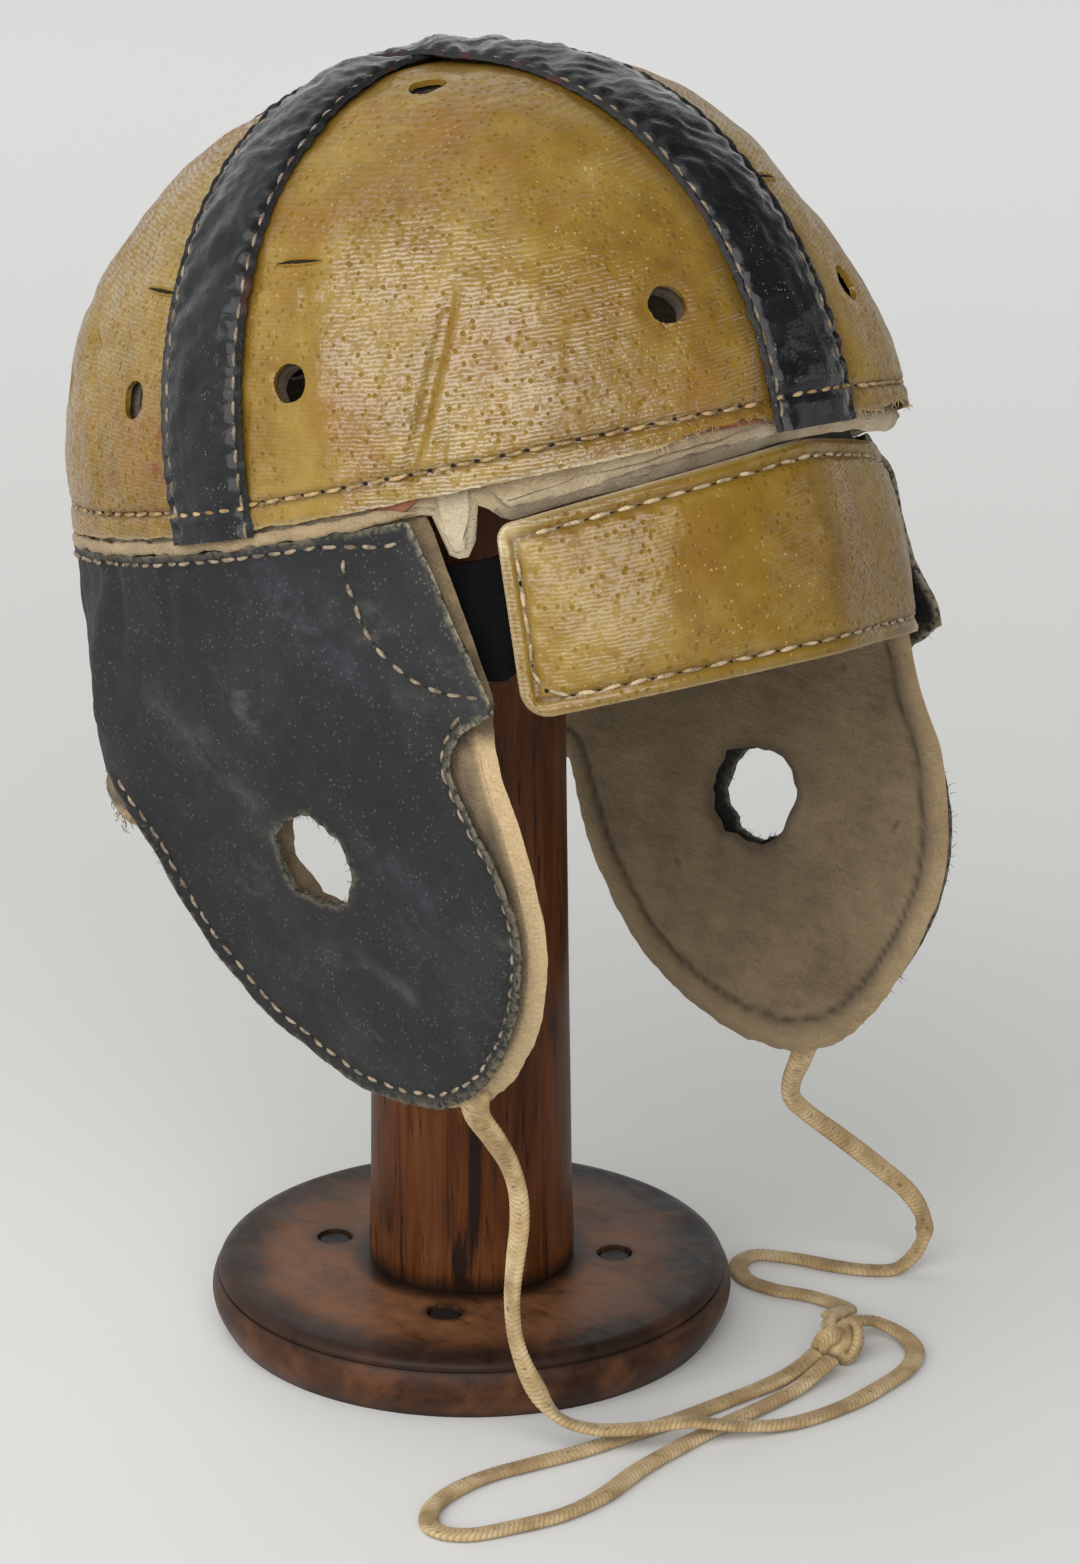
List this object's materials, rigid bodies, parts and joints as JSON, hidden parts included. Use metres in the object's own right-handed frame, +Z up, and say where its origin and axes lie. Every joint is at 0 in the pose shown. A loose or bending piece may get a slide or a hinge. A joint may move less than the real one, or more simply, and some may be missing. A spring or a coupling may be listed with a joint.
{
  "type": "leather football helmet on a wooden stand",
  "caption": "Early soft leather football helmet with padded brow band, felt-lined ear flaps and a tie cord, held up by a turned wooden display stand.",
  "frame": {"origin": "centre of the stand's underside, where it rests on the table", "axes": "+Z up along the column; the brow faces -Y; the wearer's right side is -X"},
  "size_m": [0.1936, 0.2254, 0.3251],
  "materials": {
    "mustard_leather": "varnished, pebbled, finely crazed",
    "black_leather": "glossy, wrinkled and padded",
    "charcoal_leather": "matte, scuffed, worn pale at the front edge",
    "cream_felt": "thick wool felt",
    "tan_felt": "worn and mottled wool felt",
    "red_fibre": "stiff fibre board",
    "grey_cloth": "plain woven cotton",
    "black_elastic": "ribbed elastic webbing",
    "dark_wood": "old oiled wood, orange-brown with black streaks",
    "plug_wood": "darkened wood plug",
    "cotton_cord": "flat braided cotton with dark flecks"
  },
  "bodies": {
    "root": {"crown_panel_front_right": "mustard_leather", "crown_panel_back_right": "mustard_leather", "crown_panel_back_left": "mustard_leather", "crown_panel_front_left": "mustard_leather", "crown_stiffener": "red_fibre", "crown_felt_front_right": "cream_felt", "crown_felt_back_right": "cream_felt", "crown_felt_back_left": "cream_felt", "crown_felt_front_left": "cream_felt", "strap_front_back": "black_leather", "strap_side_to_side": "black_leather", "brow_pad_face": "mustard_leather", "brow_pad_felt": "cream_felt", "brow_pad_backing": "grey_cloth", "ear_flap_right": "charcoal_leather", "ear_flap_felt_right": "tan_felt", "elastic_right": "black_elastic", "ear_flap_left": "charcoal_leather", "ear_flap_felt_left": "tan_felt", "elastic_left": "black_elastic", "stand_base": "dark_wood", "stand_column": "dark_wood", "stand_plug_1": "plug_wood", "stand_plug_2": "plug_wood", "stand_plug_3": "plug_wood", "stand_plug_4": "plug_wood", "tie_cord_right": "cotton_cord", "tie_cord_left": "cotton_cord", "tie_cord_loop": "cotton_cord", "tie_cord_knot": "cotton_cord"}
  },
  "joints": []
}
